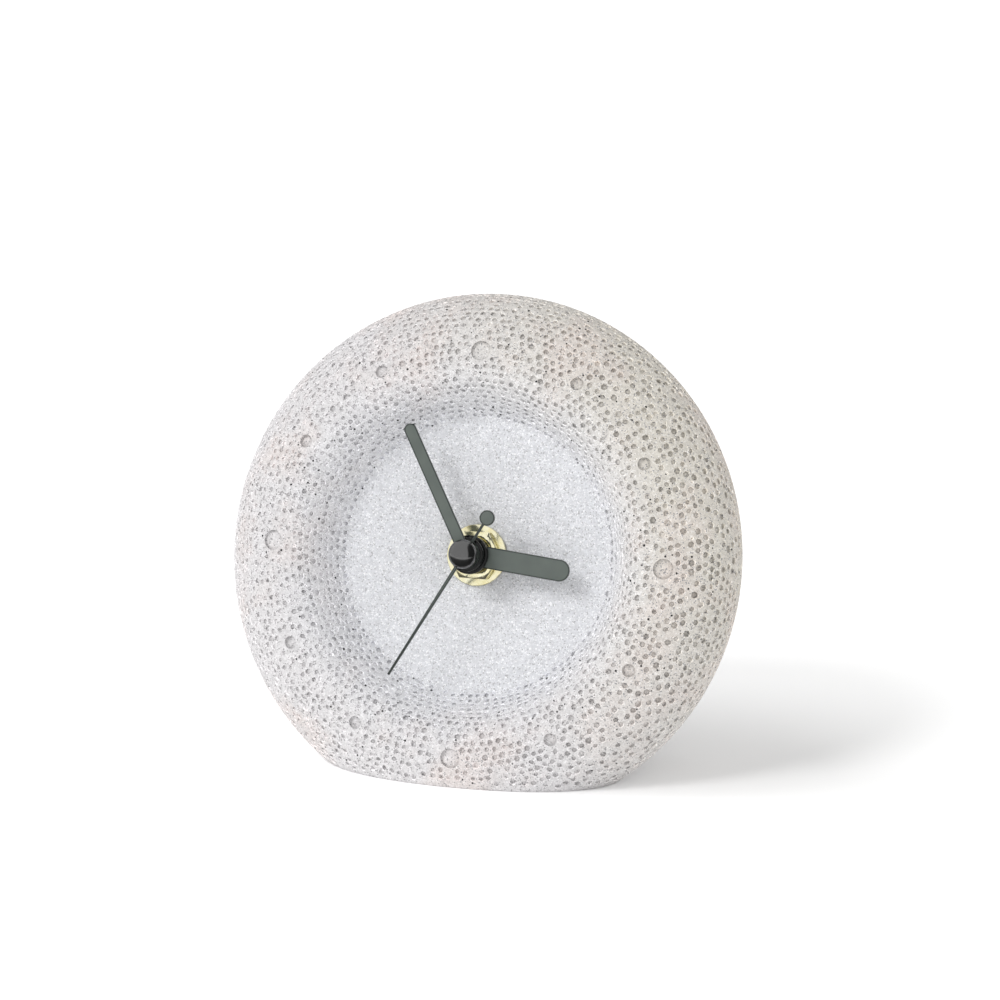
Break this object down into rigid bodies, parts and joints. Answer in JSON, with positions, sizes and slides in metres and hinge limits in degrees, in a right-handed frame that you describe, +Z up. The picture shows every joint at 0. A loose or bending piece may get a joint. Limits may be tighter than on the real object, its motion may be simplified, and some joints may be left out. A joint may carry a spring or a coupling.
{
  "type": "desk clock",
  "caption": "Round leaning desk clock: a cast concrete ring with a dished dial and cratered hour marks, brass hub fixing, turning hands and a battery quartz movement in a rear pocket.",
  "frame": {"origin": "on the desk, under the middle of the clock's box", "axes": "+X to the right of the dial, +Y to the back, +Z up; the dial faces -Y and leans back by 15 degrees"},
  "size_m": [0.12, 0.0648, 0.1058],
  "materials": {
    "concrete": "cast concrete, matt",
    "brass": "polished brass",
    "hand_metal": "satin grey-green lacquer",
    "black_gloss": "glossy black",
    "black_plastic": "fine moulded texture",
    "white_plastic": "moulded",
    "natural_plastic": "moulded, unpigmented",
    "rubber": "matt",
    "steel": "bright",
    "dark_steel": "dull",
    "magnet": "sintered, dull grey",
    "copper": "enamelled copper wire",
    "board_green": "solder mask",
    "cell_wrap": "plain shrink wrap"
  },
  "bodies": {
    "case": {"concrete_case": "concrete", "rubber_gasket": "rubber", "threaded_bush": "brass", "brass_washer": "brass", "hex_nut": "brass", "movement_shell": "black_plastic", "middle_plate": "black_plastic", "rear_cover": "black_plastic", "stator": "dark_steel", "coil_core": "dark_steel", "coil_bobbin": "natural_plastic", "coil_winding": "copper", "circuit_board": "board_green", "clock_chip": "black_gloss", "quartz_crystal": "steel", "positive_contact": "steel", "negative_contact": "steel"},
    "seconds": {"seconds_wheel": "steel", "second_hand": "hand_metal", "second_hand_cap": "black_gloss"},
    "rotor": {"rotor_pinion": "white_plastic", "rotor_magnet": "magnet"},
    "intermediate": {"intermediate_wheel": "white_plastic"},
    "third": {"third_wheel": "white_plastic"},
    "centre": {"centre_wheel": "natural_plastic"},
    "minutes": {"minute_cannon": "brass", "clutch_spring": "steel", "minute_hand": "hand_metal", "minute_hand_boss": "black_gloss"},
    "motion": {"motion_wheel": "white_plastic"},
    "hours": {"hour_wheel": "natural_plastic", "hour_hand": "hand_metal", "hour_hand_boss": "black_gloss"},
    "setting": {"setting_arbor": "white_plastic", "setting_knob": "white_plastic"},
    "battery": {"battery_cell": "cell_wrap"}
  },
  "joints": [
    {"name": "second_hand_turn", "type": "hinge", "parent": "case", "child": "seconds", "pos_m": [0, -0.01098, 0.0489], "axis": [0, 0.9659, -0.2588], "continuous": true},
    {"name": "rotor_turn", "type": "hinge", "parent": "case", "child": "rotor", "pos_m": [0.01207, 0.00833, 0.05144], "axis": [0, 0.9659, -0.2588], "continuous": true},
    {"name": "intermediate_wheel_turn", "type": "hinge", "parent": "case", "child": "intermediate", "pos_m": [0.00643, 0.00587, 0.04997], "axis": [0, 0.9659, -0.2588], "continuous": true},
    {"name": "third_wheel_turn", "type": "hinge", "parent": "case", "child": "third", "pos_m": [-0.00883, 0.00386, 0.0502], "axis": [0, 0.9659, -0.2588], "continuous": true},
    {"name": "centre_wheel_turn", "type": "hinge", "parent": "case", "child": "centre", "pos_m": [0, -0.00036, 0.04605], "axis": [0, 0.9659, -0.2588], "continuous": true},
    {"name": "minute_hand_turn", "type": "hinge", "parent": "case", "child": "minutes", "pos_m": [0, -0.01098, 0.0489], "axis": [0, 0.9659, -0.2588], "continuous": true},
    {"name": "motion_wheel_turn", "type": "hinge", "parent": "case", "child": "motion", "pos_m": [-0.00789, -0.00303, 0.0438], "axis": [0, 0.9659, -0.2588], "continuous": true},
    {"name": "hour_hand_turn", "type": "hinge", "parent": "case", "child": "hours", "pos_m": [0, -0.01098, 0.0489], "axis": [0, 0.9659, -0.2588], "continuous": true},
    {"name": "setting_knob_turn", "type": "hinge", "parent": "case", "child": "setting", "pos_m": [-0.01579, -0.00378, 0.04102], "axis": [0, 0.9659, -0.2588], "continuous": true},
    {"name": "battery_slide", "type": "slide", "parent": "case", "child": "battery", "axis": [0, 0.9659, -0.2588], "range_m": [0, 0.032]}
  ],
  "couplings": [
    {"joint": "rotor_turn", "follows": "second_hand_turn", "ratio": 30},
    {"joint": "intermediate_wheel_turn", "follows": "second_hand_turn", "ratio": -6},
    {"joint": "third_wheel_turn", "follows": "second_hand_turn", "ratio": -0.13333},
    {"joint": "centre_wheel_turn", "follows": "second_hand_turn", "ratio": 0.016667},
    {"joint": "motion_wheel_turn", "follows": "minute_hand_turn", "ratio": -0.33333},
    {"joint": "hour_hand_turn", "follows": "minute_hand_turn", "ratio": 0.083333},
    {"joint": "setting_knob_turn", "follows": "minute_hand_turn", "ratio": 1}
  ]
}
